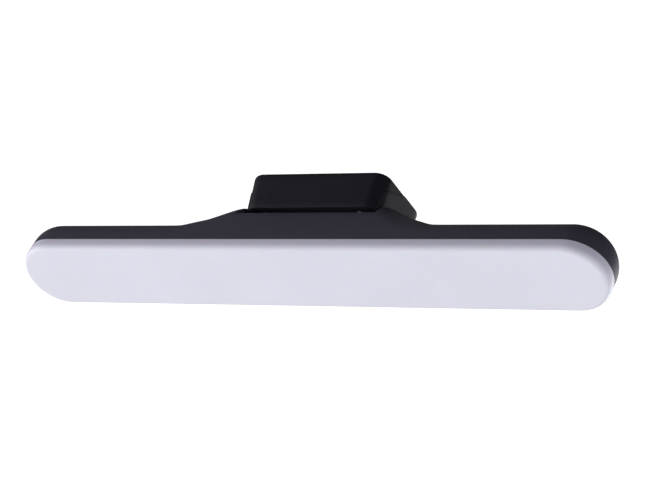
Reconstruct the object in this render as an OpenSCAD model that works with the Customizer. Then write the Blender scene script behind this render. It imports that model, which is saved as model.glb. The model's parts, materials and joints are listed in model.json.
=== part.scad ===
// Rechargeable LED light bar on a tilting magnetic mount block.
// A long opal diffuser and a black housing make the bar. The housing rises in
// the middle into a hump with a saddle, and the mount block is pinned between
// the two ears of that saddle, so that the bar tilts under the block.
//
// Frame: the origin is the centre of the mount face, +Z points out of that
// face, X runs along the bar and -Y is the side that the tilted bar lights.
// The bar is drawn level, with its hinge axis on X, and lamp_pose() puts it
// at its tilt under the block.

/* [Light bar] */
// Length of the bar over its round ends
bar_length = 310; // [290:5:400]
// Width of the bar
bar_width = 37; // [36:0.5:39]
// Depth of the diffuser that shows in front of the housing
diffuser_depth = 6.6; // [6:0.1:8]
// Depth of the housing behind the diffuser, away from the hump
housing_depth = 18.2; // [18:0.1:20]
// Radius of the housing's long back edges
back_round = 14; // [10:0.5:15]
// Radius of the diffuser's front edge
face_round = 2.4; // [1:0.1:3.4]
// Wall thickness of the housing
housing_wall = 1.8; // [1.5:0.1:2]
// Wall thickness of the diffuser
diffuser_wall = 1.6; // [1.2:0.1:1.8]

/* [Hump] */
// Height of the ears above the hinge axis
ear_height = 5.2; // [5:0.1:6]
// Length of each slope, from an ear down to the bar
slope_run = 27; // [24:1:34]
// Radius of the ears' crown across the bar
crown_round = 17.5; // [16:0.5:18]
// Depth of the saddle's floor below the hinge axis
saddle_depth = 7.4; // [7:0.1:7.8]
// Gap between the mount block and each ear
ear_gap = 1.3; // [1.2:0.1:1.6]

/* [Mount block] */
// Length of the block at its mount face
block_length = 73.4; // [72:0.2:76]
// Width of the block at its mount face
block_width = 38.8; // [38:0.2:40]
// Height of the block, from its underside to the grip pad
block_height = 19.2; // [18.6:0.1:19.4]
// How much each side leans in at the underside
block_draft = 1.1; // [0.6:0.1:1.3]
// Corner radius of the block
block_corner = 6.7; // [5:0.1:8]
// Radius around the mount face
block_edge = 2.1; // [1:0.1:2.4]
// Thickness of the grip pad
pad_thickness = 0.9; // [0.7:0.1:1.2]
// Diameter of each magnet
magnet_d = 15; // [12:0.5:15.5]
// Thickness of each magnet
magnet_t = 3; // [2:0.5:4]

/* [Tilt hinge] */
// Tilt of the bar under the block
rest_tilt = 16.7; // [-23:0.1:23]
// Distance from the mount face to the hinge axis
hinge_drop = 19.7; // [19.5:0.1:20]
// Diameter of the hinge pins
pin_d = 3; // [2.5:0.1:3.2]

/* [Light and power] */
// Number of LEDs in the row
led_count = 48; // [12:1:60]
// Length of the flat lithium cell
cell_length = 62; // [50:1:64]
// Width of the flat lithium cell
cell_width = 29; // [24:0.5:29]
// Thickness of the flat lithium cell
cell_thick = 9.4; // [6:0.1:9.5]
// Travel of the power button
button_travel = 0.6; // [0.3:0.1:0.8]

/* [Hidden] */

$fn = 64;
hull_fn = 32;
eps = 0.01;
cut = 60;              // longer than any wall that a cutter goes through
fit_gap = 0.1;         // play between pieces of one assembly
run_gap = 0.05;        // radial running clearance of the hinge pins
press = 0.01;          // radial play that keeps a pressed-in piece from overlapping its hole

// Levels of the bar, measured from its hinge axis
hw = bar_width / 2;
span = bar_length / 2 - hw;                 // centre of each round end
bar_back = -9.2;
parting = bar_back - housing_depth;
face = parting - diffuser_depth;
inner_hw = hw - housing_wall;
inner_back = bar_back - housing_wall;
flange_t = 1.2;                             // rim that carries the diffuser's skirt
skirt_t = 1.1;
skirt_h = 1.6;

// Mount block
block_hl = block_length / 2;
block_hw = block_width / 2;
shell_top = -0.4;                           // the pad stands this far proud
shell_wall = 2.2;
end_wall = 3.2;
shell_roof = 1.9;
cap_proud = 0.4;
cap_depth = 2.3;
cap_front = -15.8;                          // front edge of each end cap
cap_knee = -9;                              // level where that edge turns back
cap_crest = 0.6;                            // where its slant meets its top
plate_t = 2;
plate_corner = 3;
pad_margin = 4;                             // from the block's edges to the grip pad
pad_corner = 4.5;
boss_x = 25.5;
boss_y = 12.6;
boss_r = 2.6;
screw_seat = 0.9;                           // depth of each screw head's seat in the plate
block_hl_low = block_hl - block_draft;

// Hinge
ear_x = block_hl_low + ear_gap;             // inner face of each ear
ear_t = 2.6;
ear_boss_l = 4.3;
ear_boss_x = ear_x + ear_boss_l;
lug_in = 27.5;
lug_out = block_hl_low - 0.2;
lug_r = 4.2;
lug_gap = 0.3;
bush_r = 2.5;
washer_r = 3.9;
ear_boss_r = 3.2;
pin_r = pin_d / 2;
pin_in = lug_in + 1.2;

// Boards and screws inside the bar
tray_t = 1.4;
tray_back = parting + 3.2;
tray_front = tray_back - tray_t;
led_board_t = 1;
led_board_w = 20;
led_t = 0.7;
post_x = 36;
led_pitch = (2 * span - 2) / (led_count - 1);
tray_screw_at = [[-span - 9, 0], [span + 9, 0], [-post_x, 12.6], [-post_x, -12.6],
                 [post_x, 12.6], [post_x, -12.6], [-110, 12.6], [118, -12.6]];
post_r = 2.6;
screw_r = 1.1;
screw_play = 0.15;                          // radial play of a screw in its through hole
screw_core_r = screw_r - 0.2;               // bore that the screw's thread bites into
screw_head_r = 1.9;
screw_head_t = 0.8;
board_x = 88;
board_l = 52;
board_w = 25;
board_t = 1.2;
board_front = tray_back + 1.8;
board_back = board_front + board_t;
board_screw_at = [[board_x - 22.5, -9.5], [board_x + 22.5, -9.5]];
standoff_r = 2.4;                           // posts that the board is screwed to
rest_at = [22, 9];                          // posts that the board only rests on, from its middle
rest_r = 1.8;
lead_hole = [3, 6, 5];                      // hole in the tray for the LED board's leads
cell_back = inner_back - 1;
port_x = board_x + 10;
port_w = 9;
port_h = 3.3;
port_l = 7.4;
port_wall = 0.35;
tongue_w = 6.6;
tongue_t = 0.7;
port_sink = 1.3;                            // the port's mouth lies this far inside the widest line
lens_x = board_x - 4;
lens_r = 1.1;
lens_back = 12;
collar_t = 2;
collar_grow = 0.9;
button_x = board_x - 17;
button_w = 11;
button_h = 5;
button_z = board_back + 2.7;
button_face = hw - 0.2;
button_step = 14.2;
flange_grow = 1.2;                          // the button's flange keeps it in its slot
flange_l = 1.4;
stem_r = 1.6;
switch_y = 8.4;
plunger_r = 1.2;
plunger_play = 0.15;
plunger_out = 1.2;
wire_r = 0.65;
slot_gap = 0.25;                            // play round what stands in the rear wall

// ---------- shared forms ----------

// Level bar to its tilted place under the block
module lamp_pose() {
    translate([0, 0, -hinge_drop]) rotate([-rest_tilt, 0, 0]) children();
}

// Section across the bar: straight sides from z0, long edges rounded to z1
module d_section(half, z0, z1, r) {
    translate([-half, z0]) square([2 * half, z1 - r - z0]);
    translate([r - half, z0]) square([2 * (half - r), z1 - z0]);
    for (s = [-1, 1]) intersection() {
        translate([s * (half - r), z1 - r]) circle(r);
        translate([-half, z1 - r]) square([2 * half, r]);
    }
}

// Carries a section along the bar and round both ends
module pill() {
    rotate([90, 0, 90]) linear_extrude(2 * span, center = true) children();
    for (s = [-1, 1]) translate([s * span, 0, 0]) rotate_extrude($fn = 96) intersection() {
        children();
        translate([0, -cut]) square([cut, 2 * cut]);
    }
}

// Flat plate with round ends, as wide as the given half width
module pill_plate(half, z0, z1) {
    translate([-span, -half, z0]) cube([2 * span, 2 * half, z1 - z0]);
    for (s = [-1, 1]) translate([s * span, 0, z0]) cylinder(r = half, h = z1 - z0, $fn = 96);
}

// Outline with round ends, w long and h high
module slot_outline(w, h) {
    square([w - h, h], center = true);
    for (s = [-1, 1]) translate([s * (w - h) / 2, 0]) circle(h / 2);
}

// Straight rod or hole along X
module rod_x(r, x0, x1) {
    translate([x0, 0, 0]) rotate([0, 90, 0]) cylinder(r = r, h = x1 - x0);
}

// Both ends of the block or the bar
module both_ends() {
    children();
    mirror([1, 0, 0]) children();
}

// ---------- hump ----------

// A ramp from 1 down to 0 that is straight in the middle and soft at both ends
function soft(v) = v > 12 ? v : ln(1 + exp(v));
ramp_soft = 1.3;
function ramp(x, x0, x1) =
    (soft((x1 - x) / ramp_soft) - soft((x0 - x) / ramp_soft)) * ramp_soft / (x1 - x0);

ridge_x = ear_x + 1.4;
hump_end = ridge_x + slope_run - 3;
hump_tail = 8;                              // rounded nose that ends each slope
slope_steps = 12;
tail_steps = 5;
hump_foot = parting + 5;
hump_sink = 0.6;                            // the ridge runs out this far below the bar's back
function hump_top(x) = bar_back - hump_sink
    + (ear_height + hump_sink - bar_back) * ramp(x, ridge_x, ridge_x + slope_run);
function slope_line(x0, x1, inset) =
    [for (i = [0:slope_steps]) let (x = x0 + (x1 - x0) * i / slope_steps) [x, hump_top(x) - inset]];

function tail_line(x1, inset) = let (top = hump_top(x1) - inset)
    [for (i = [1:tail_steps]) let (a = 90 * i / tail_steps)
        [x1 + (hump_tail - inset) * sin(a), top - (top - hump_foot) * (1 - cos(a))]];

// One end of the hump: its side outline carried across the bar, crowned to match the ears
module hump_half(x0, x1, inset) {
    intersection() {
        rotate([90, 0, 0]) linear_extrude(cut, center = true)
            polygon(concat([[x0, hump_foot]], slope_line(x0, x1, inset), tail_line(x1, inset)));
        rotate([90, 0, 90]) linear_extrude(x1 + hump_tail)
            d_section(hw - inset, hump_foot - 1, ear_height - inset, crown_round - inset);
    }
}

// ---------- bar ----------

module housing_outer() {
    pill() d_section(hw, parting, bar_back, back_round);
    both_ends() hump_half(-eps, hump_end, 0);
}

module housing_hollow() {
    pill() d_section(inner_hw, parting - 1, inner_back, back_round - housing_wall);
    both_ends() hump_half(ear_x + ear_t, hump_end, housing_wall);
    cell_room = [cell_length + 4, cell_width + 0.8, inner_back + fit_gap - hump_foot];
    translate([-cell_room[0] / 2, -cell_room[1] / 2, hump_foot]) cube(cell_room);
}

module screw_post(h_low) {
    difference() {
        translate([0, 0, h_low]) cylinder(r = post_r, h = inner_back - h_low + 0.5);
        translate([0, 0, h_low - 1]) cylinder(r = screw_core_r, h = 8);
    }
}

// Opening with play round it, through the rear wall at height z
module wall_slot(x, z, w, h) {
    translate([x, 0, z]) rotate([-90, 0, 0]) linear_extrude(cut)
        slot_outline(w + 2 * slot_gap, h + 2 * slot_gap);
}

module rear_housing() {
    color("#26252a") lamp_pose() difference() {
        union() {
            difference() {
                housing_outer();
                housing_hollow();
            }
            both_ends() rod_x(ear_boss_r, ear_x, ear_boss_x);
            intersection() {
                for (at = tray_screw_at) translate([at[0], at[1], 0]) screw_post(tray_back);
                pill() d_section(hw - 0.6, parting, bar_back - 0.6, back_round - 0.6);
            }
        }
        translate([-ear_x, -cut / 2, -saddle_depth]) cube([2 * ear_x, cut, cut]);
        both_ends() rod_x(pin_r + press, ear_x - 1, ear_boss_x + 1);
        wall_slot(port_x, board_back + port_h / 2, port_w, port_h);
        wall_slot(button_x, button_z, button_w, button_h);
        translate([lens_x, 0, button_z]) rotate([-90, 0, 0]) cylinder(r = lens_r + run_gap, h = cut);
    }
}

module diffuser() {
    color("#d9dae4") lamp_pose() difference() {
        union() {
            mirror([0, 0, 1]) pill() d_section(hw, -parting, -face, face_round);
            pill_plate(inner_hw - fit_gap, parting - eps, parting + skirt_h);
        }
        mirror([0, 0, 1]) pill() d_section(hw - diffuser_wall, -parting + flange_t,
            -face - diffuser_wall, face_round - 0.8);
        pill_plate(inner_hw - fit_gap - skirt_t, parting - 2 * flange_t, parting + 5);
    }
}

module light_tray() {
    color("#f2f2f0") lamp_pose() difference() {
        union() {
            pill_plate(inner_hw - 0.3, tray_front, tray_back);
            for (at = board_screw_at) translate([at[0], at[1], tray_back - eps])
                cylinder(r = standoff_r, h = board_front - tray_back + eps);
            for (s = [-1, 1]) translate([board_x + s * rest_at[0], rest_at[1], tray_back - eps])
                cylinder(r = rest_r, h = board_front - tray_back + eps);
        }
        for (at = tray_screw_at) translate([at[0], at[1], tray_front - 1])
            cylinder(r = screw_r + screw_play, h = 5);
        for (at = board_screw_at) translate([at[0], at[1], tray_front - 1])
            cylinder(r = screw_core_r, h = 8);
        translate([lead_x - lead_hole[0] / 2, -lead_hole[1] / 2, tray_front - 1]) cube(lead_hole);
    }
}

// Pan-head screw: its head's underside lies at z = 0 and it points up
module pan_screw(length) {
    recess_l = 2;
    recess_w = 0.5;
    recess_t = 0.45;
    translate([0, 0, -screw_head_t]) difference() {
        cylinder(r = screw_head_r, h = screw_head_t);
        for (a = [0, 90]) rotate([0, 0, a]) translate([-recess_l / 2, -recess_w / 2, -eps])
            cube([recess_l, recess_w, recess_t]);
    }
    translate([0, 0, -screw_head_t / 4]) cylinder(r = screw_core_r - press, h = length + screw_head_t / 4);
}

module tray_screws() {
    color("#b9bcc2") lamp_pose() for (at = tray_screw_at)
        translate([at[0], at[1], tray_front]) pan_screw(tray_t + 5);
}

module led_board() {
    color("#e9ebee") lamp_pose()
        translate([-span - 3, -led_board_w / 2, tray_front - led_board_t])
            cube([2 * span + 6, led_board_w, led_board_t]);
}

// One LED package: a white frame with its phosphor window stood proud of it
module led_package() {
    package = [2.8, 3.5, led_t];
    window_r = 1.05;
    window_t = 0.12;
    translate([-package[0] / 2, -package[1] / 2, -led_t]) cube(package);
    translate([0, 0, -led_t - window_t]) cylinder(r = window_r, h = window_t + eps);
}

module leds() {
    color("#f3e28a") lamp_pose() for (i = [0:led_count - 1])
        translate([-span + 1 + i * led_pitch, 0, tray_front - led_board_t]) led_package();
}

module battery_cell() {
    color("#9fb4c9") lamp_pose() translate([0, 0, cell_back - cell_thick])
        translate([-cell_length / 2, 0, cell_thick / 2]) rotate([90, 0, 90])
            linear_extrude(cell_length) {
                edge = 1.6;
                square([cell_width - 2 * edge, cell_thick], center = true);
                square([cell_width, cell_thick - 2 * edge], center = true);
                for (sy = [-1, 1], sz = [-1, 1])
                    translate([sy * (cell_width / 2 - edge), sz * (cell_thick / 2 - edge)]) circle(edge);
            }
}

module battery_pad() {
    tape = [20, 18, inner_back - cell_back + fit_gap];
    tape_x = 16;
    color("#3b3b3e") lamp_pose() for (s = [-1, 1])
        translate([s * tape_x - tape[0] / 2, -tape[1] / 2, cell_back]) cube(tape);
}

// A wire that runs straight from one point to another
module wire(from, to) {
    d = to - from;
    translate(from) rotate([0, acos(d[2] / norm(d)), atan2(d[1], d[0])])
        cylinder(r = wire_r, h = norm(d), $fn = 16);
}

lead_z = cell_back - cell_thick / 2;
socket = [5.6, 7.2, 3.6];
socket_back = 3;                            // from the socket's own middle line to its rear
plug_x = board_x - 21;
plug_z = board_back + 1.6;
cell_lead_y = 1.6;
plug_lead_y = 1;
led_lead_y = 1.2;
lead_x = board_x - board_l / 2 + 1;

module battery_leads() {
    color("#b3202a") lamp_pose() for (s = [-1, 1])
        wire([cell_length / 2 + fit_gap, s * cell_lead_y, lead_z],
            [plug_x - socket_back - fit_gap, s * plug_lead_y, plug_z]);
}

module led_leads() {
    color("#d8d8d2") lamp_pose() for (s = [-1, 1])
        wire([lead_x, s * led_lead_y, tray_front], [lead_x, s * led_lead_y, board_front]);
}

module control_board() {
    color("#1f5a3a") lamp_pose() difference() {
        translate([board_x - board_l / 2, -board_w / 2, board_front]) cube([board_l, board_w, board_t]);
        for (at = board_screw_at) translate([at[0], at[1], board_front - 1])
            cylinder(r = screw_r + fit_gap, h = board_t + 2);
    }
}

module board_screws() {
    color("#b9bcc2") lamp_pose() for (at = board_screw_at)
        translate([at[0], at[1], board_back]) mirror([0, 0, 1]) pan_screw(board_t + 2.6);
}

// Driver, coil and charger chip as [corner on the board, size], then a capacitor and resistors
module driver_parts() {
    driver = [[-7, -8.5], [5, 4.4, 1.4]];
    coil = [[3, -9], [6.2, 6.2, 2.8]];
    charger = [[-14, -8.6], [3, 3, 1.1]];
    capacitor_at = [12, -9.6];
    resistor = [1.6, 0.9, 0.7];
    resistor_pitch = 3;
    color("#2b2b2e") lamp_pose() translate([board_x, 0, board_back]) {
        for (part = [driver, coil, charger]) translate(part[0]) cube(part[1]);
        translate(capacitor_at) cylinder(d = 4.8, h = 5.2);
        for (i = [0:3]) translate([-6 + i * resistor_pitch, -1, 0]) cube(resistor);
    }
}

module battery_socket() {
    mouth = [0.6, 5.2, 2.2];
    floor_t = 0.6;
    color("#efe9dc") lamp_pose() translate([plug_x - socket_back, 0, board_back]) difference() {
        translate([0, -socket[1] / 2, 0]) cube(socket);
        translate([-eps, -mouth[1] / 2, floor_t]) cube(mouth);
    }
}

module usb_port() {
    floor_t = 0.9;
    color("#c3c6cb") lamp_pose() translate([port_x, hw - port_sink - port_l, board_back + port_h / 2 + eps])
        rotate([-90, 0, 0]) difference() {
            linear_extrude(port_l) slot_outline(port_w, port_h);
            translate([0, 0, floor_t]) linear_extrude(port_l) difference() {
                slot_outline(port_w - 2 * port_wall, port_h - 2 * port_wall);
                square([tongue_w, tongue_t], center = true);
            }
        }
}

module tact_switch() {
    body = [6, 3.4, 4.9];
    color("#3a3a3d") lamp_pose() translate([button_x, switch_y, button_z]) difference() {
        translate([-body[0] / 2, -body[1], board_back - button_z + eps]) cube(body);
        rotate([90, 0, 0]) translate([0, 0, -eps])
            cylinder(r = plunger_r + plunger_play, h = button_travel + 0.8);
    }
}

module switch_plunger() {
    color("#c9952c") lamp_pose() translate([button_x, switch_y, button_z])
        rotate([-90, 0, 0]) translate([0, 0, -button_travel])
            cylinder(r = plunger_r, h = button_travel + plunger_out);
}

module power_button() {
    color("#323238") lamp_pose() translate([button_x, 0, button_z]) {
        rotate([-90, 0, 0]) translate([0, 0, button_step])
            linear_extrude(button_face - button_step) slot_outline(button_w, button_h);
        rotate([-90, 0, 0]) translate([0, 0, button_step - flange_l])
            linear_extrude(flange_l + eps) slot_outline(button_w + 2 * flange_grow, button_h - 0.4);
        rotate([-90, 0, 0]) translate([0, 0, switch_y + plunger_out])
            cylinder(r = stem_r, h = button_step - switch_y - plunger_out);
    }
}

module status_lens() {
    color("#e6eef2") lamp_pose() translate([lens_x, 0, button_z]) rotate([-90, 0, 0]) {
        translate([0, 0, lens_back]) cylinder(r = lens_r + collar_grow, h = collar_t);
        translate([0, 0, lens_back]) cylinder(r = lens_r, h = hw - 0.8 - lens_back);
    }
}

// ---------- hinge ----------

module hinge_pin(side) {
    color("#aeb2b8") translate([0, 0, -hinge_drop]) scale([side, 1, 1]) difference() {
        rod_x(pin_r, pin_in, ear_boss_x);
        translate([ear_boss_x - 0.6, -0.35, -1]) cube([2, 0.7, 2]);
    }
}

module left_hinge_pin() { hinge_pin(-1); }

module right_hinge_pin() { hinge_pin(1); }

module friction_washers() {
    color("#8f9399") translate([0, 0, -hinge_drop]) both_ends() difference() {
        rod_x(washer_r, lug_out + 0.2, ear_x - run_gap);
        rod_x(pin_r + 2 * press, lug_out - 1, ear_x + 1);
    }
}

module hinge_bushes() {
    color("#b08d4a") translate([0, 0, -hinge_drop]) both_ends() difference() {
        rod_x(bush_r, lug_in, lug_out);
        rod_x(pin_r + run_gap, lug_in - 1, lug_out + 1);
    }
}

// ---------- mount block ----------

// The four corners of a rounded rectangle
module plan(half_l, half_w, r) {
    for (sx = [-1, 1], sy = [-1, 1]) translate([sx * (half_l - r), sy * (half_w - r)]) circle(r);
}

// Rounded rectangle
module full_plan(half_l, half_w, r) {
    square([2 * (half_l - r), 2 * half_w], center = true);
    square([2 * half_l, 2 * (half_w - r)], center = true);
    plan(half_l, half_w, r);
}

// Drafted block with a rounded rim at its top, grown by grow all round
module block_form(grow, r, z_low) {
    hull() {
        for (a = [0:15:90]) let (in = block_edge * (1 - cos(a)) - grow)
            translate([0, 0, shell_top - block_edge + block_edge * sin(a)]) linear_extrude(eps)
                plan(block_hl - in, block_hw - in, max(r - in - grow, 0.6), $fn = hull_fn);
        translate([0, 0, z_low]) linear_extrude(eps)
            plan(block_hl_low + grow, block_hw - block_draft + grow, r, $fn = hull_fn);
    }
}

// Side view of an end cap: full height at the back, and its top slants down to the front
module cap_outline(grow) {
    low = -block_height - 1;
    top = shell_top - 0.8 + grow;
    rear = block_hw - 1.8 + grow;
    front = cap_front - grow;
    polygon([[front, low], [front, cap_knee + grow], [cap_crest, top], [rear, top], [rear, low]]);
}

module cap_zone(side, grow) {
    scale([side, 1, 1]) translate([block_hl - cap_depth - grow, 0, 0]) rotate([90, 0, 90])
        linear_extrude(10) cap_outline(grow);
}

module end_cap(side) {
    color("#1d1d20") difference() {
        intersection() {
            block_form(cap_proud, block_corner + cap_proud, -block_height + fit_gap);
            cap_zone(side, 0);
        }
        translate([0, 0, -hinge_drop]) rod_x(lug_r + lug_gap, -cut, cut);
    }
}

module left_end_cap() { end_cap(-1); }

module right_end_cap() { end_cap(1); }

// The four screw bosses of the block, at one level
module at_bosses(z) {
    for (sx = [-1, 1], sy = [-1, 1]) translate([sx * boss_x, sy * boss_y, z]) children();
}

module base_shell() {
    color("#28282d") difference() {
        union() {
            difference() {
                block_form(0, block_corner, -block_height);
                shell_hollow();
            }
            at_bosses(plate_t - block_height)
                cylinder(r = boss_r, h = block_height - plate_t + shell_top - shell_roof + eps);
        }
        for (side = [-1, 1]) cap_zone(side, fit_gap);
        translate([0, 0, -pad_thickness]) linear_extrude(3) pad_plan(fit_gap);
        translate([0, 0, -hinge_drop]) rod_x(lug_r + lug_gap, -cut, cut);
        at_bosses(-block_height - 1) cylinder(r = screw_core_r, h = 12);
    }
}

// Inside of the shell's walls, drawn in by a gap
module room_plan(gap) {
    full_plan(block_hl_low - end_wall - gap, block_hw - block_draft - shell_wall - gap, plate_corner);
}

module shell_hollow() {
    low = -block_height - 1;
    translate([0, 0, low]) linear_extrude(shell_top - shell_roof - low) room_plan(0);
}

module pad_plan(grow) {
    full_plan(block_hl - pad_margin + grow, block_hw - pad_margin + grow, pad_corner + grow);
}

module grip_pad() {
    color("#3a3a3e") translate([0, 0, -pad_thickness]) linear_extrude(pad_thickness) pad_plan(0);
}

module magnets() {
    gap = 0.6;
    color("#b4b7bc") for (i = [0:3]) translate([(i - 1.5) * (magnet_d + gap), 0, 0])
        translate([0, 0, shell_top - shell_roof - run_gap - magnet_t]) cylinder(d = magnet_d, h = magnet_t);
}

yoke = [63, 29, 1.5];
yoke_top = shell_top - shell_roof - fit_gap - magnet_t;
locating_x = 8.7;
locating_r = 1.6;                           // locating holes of the plate

module yoke_plate() {
    color("#8a8d92") difference() {
        translate([-yoke[0] / 2, -yoke[1] / 2, yoke_top - yoke[2]]) cube(yoke);
        at_bosses(yoke_top - 3) cylinder(r = boss_r + 0.3, h = 5);
        for (s = [-1, 1]) translate([s * locating_x, 0, yoke_top - 3]) cylinder(r = locating_r, h = 5);
    }
}

module base_plate() {
    rib_t = 1.6;
    rib_l = 52;
    rib_h = 2.2;
    rib_y = 9;
    gusset = [5, 2, 6.2];
    color("#242428") difference() {
        union() {
            translate([0, 0, -block_height]) linear_extrude(plate_t) room_plan(1.5 * fit_gap);
            translate([0, 0, -hinge_drop]) both_ends() rod_x(lug_r, lug_in, lug_out);
            both_ends() translate([lug_in, -gusset[1] / 2, -block_height]) cube(gusset);
            for (s = [-1, 1]) translate([-rib_l / 2, s * rib_y - rib_t / 2, plate_t - block_height - eps])
                cube([rib_l, rib_t, rib_h]);
        }
        translate([0, 0, -hinge_drop]) both_ends() rod_x(bush_r + press, lug_in - 1, lug_out + 1);
        at_bosses(-block_height - 1) {
            cylinder(r = screw_r + screw_play, h = 5);
            cylinder(r = screw_head_r + 2 * fit_gap, h = 1 + screw_seat);
        }
    }
}

module base_screws() {
    color("#b9bcc2") at_bosses(screw_seat - block_height) pan_screw(8.5);
}

base_shell();
base_plate();
base_screws();
left_end_cap();
right_end_cap();
grip_pad();
magnets();
yoke_plate();
hinge_bushes();
left_hinge_pin();
right_hinge_pin();
friction_washers();
rear_housing();
diffuser();
light_tray();
tray_screws();
led_board();
leds();
battery_cell();
battery_pad();
battery_leads();
led_leads();
control_board();
board_screws();
driver_parts();
battery_socket();
usb_port();
tact_switch();
switch_plunger();
power_button();
status_lens();
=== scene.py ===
"""Rechargeable light bar with a tilting magnetic mount block.

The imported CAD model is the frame. The outer shells, the end caps, the grip pad and the
button are built here as fine meshes over their CAD solids, and every other CAD solid keeps
its shape and gets a material. The bar is worked out level, with its hinge axis on X, and
level_to_world() then puts it at its tilt under the block.
"""

import json
import math

import bmesh
import bpy
from bpy.props import FloatProperty, FloatVectorProperty, PointerProperty
from mathutils import Matrix, Vector


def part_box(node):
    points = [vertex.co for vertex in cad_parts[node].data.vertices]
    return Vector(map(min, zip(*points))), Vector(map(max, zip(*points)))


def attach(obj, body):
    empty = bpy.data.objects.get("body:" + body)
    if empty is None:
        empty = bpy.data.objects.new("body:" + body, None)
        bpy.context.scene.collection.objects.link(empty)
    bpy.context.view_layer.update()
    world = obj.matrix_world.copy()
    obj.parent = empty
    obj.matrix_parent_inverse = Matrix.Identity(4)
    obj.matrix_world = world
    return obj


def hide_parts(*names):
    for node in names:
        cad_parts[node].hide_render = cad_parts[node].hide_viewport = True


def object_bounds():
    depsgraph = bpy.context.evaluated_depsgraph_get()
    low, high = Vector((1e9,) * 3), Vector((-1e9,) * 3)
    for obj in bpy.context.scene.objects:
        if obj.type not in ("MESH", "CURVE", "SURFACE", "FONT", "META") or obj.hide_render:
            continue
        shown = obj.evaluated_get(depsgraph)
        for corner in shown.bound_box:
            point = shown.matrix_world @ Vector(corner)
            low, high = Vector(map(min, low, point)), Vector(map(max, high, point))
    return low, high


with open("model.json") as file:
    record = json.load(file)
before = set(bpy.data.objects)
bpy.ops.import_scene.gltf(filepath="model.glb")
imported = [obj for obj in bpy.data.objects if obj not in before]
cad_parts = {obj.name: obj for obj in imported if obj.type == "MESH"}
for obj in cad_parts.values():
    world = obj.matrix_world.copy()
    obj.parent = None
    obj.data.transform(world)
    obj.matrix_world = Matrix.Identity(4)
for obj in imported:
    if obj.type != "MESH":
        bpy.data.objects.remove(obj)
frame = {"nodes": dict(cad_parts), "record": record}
CAD_BOX = [list(corner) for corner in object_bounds()]

bl_info = {
    "name": "Magnetic light bar",
    "version": (1, 0, 0),
    "blender": (4, 5, 0),
    "location": "View3D > Sidebar > Light bar",
    "description": "Builds the light bar, its mount block and its studio around the packed model",
    "category": "Object",
}

MM = 0.001


# ---------------------------------------------------------------- the frame

def joint_named(name):
    """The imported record's joint of that name."""
    return next(j for j in frame["record"]["behaviour"]["joints"] if j["name"] == name)


TILT_JOINT = joint_named("bar_tilt")
HINGE = Vector(TILT_JOINT["pos_m"])
# the bar tilts as far one way as the other, so the middle of the range is level
REST_TILT = math.radians(sum(TILT_JOINT["range_deg"]) / 2)


def level_to_world():
    """Takes the level bar, with its hinge axis on X, to its rest place."""
    return Matrix.Translation(HINGE) @ Matrix.Rotation(-REST_TILT, 4, "X")


def level_box(node):
    """Lowest and highest corners of a CAD node, seen by the level bar."""
    back = level_to_world().inverted()
    points = [back @ v.co for v in frame["nodes"][node].data.vertices]
    low = Vector(min(p[i] for p in points) for i in range(3))
    high = Vector(max(p[i] for p in points) for i in range(3))
    return low, high


HOUSING_LOW, HOUSING_HIGH = level_box("rear_housing")
DIFFUSER_LOW, DIFFUSER_HIGH = level_box("diffuser")
BLOCK_LOW, BLOCK_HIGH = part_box("base_shell")
PAD_LOW, PAD_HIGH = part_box("grip_pad")
PLATE_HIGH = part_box("base_plate")[1]
CAP_LOW, CAP_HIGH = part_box("right_end_cap")
BUTTON_LOW, BUTTON_HIGH = level_box("power_button")
PORT_LOW, PORT_HIGH = level_box("usb_port")
LENS_LOW, LENS_HIGH = level_box("status_lens")

HALF_WIDTH = HOUSING_HIGH.y
SPAN = HOUSING_HIGH.x - HALF_WIDTH      # from the middle to the centre of each round end
PARTING = HOUSING_LOW.z                 # level of the seam between housing and diffuser
FACE = DIFFUSER_LOW.z                   # level of the diffuser's face


# ---------------------------------------------------------------- settings

def length(name, description, millimetres, low, high):
    """A length property, given in millimetres and kept in metres."""
    return FloatProperty(name=name, description=description, default=millimetres * MM, min=low * MM,
                         max=high * MM, subtype="DISTANCE", unit="LENGTH", precision=5)


def colour(name, description, value):
    """A colour property in linear red, green and blue."""
    return FloatVectorProperty(name=name, description=description, default=value,
                               size=3, min=0.0, max=1.0, subtype="COLOR")


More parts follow.
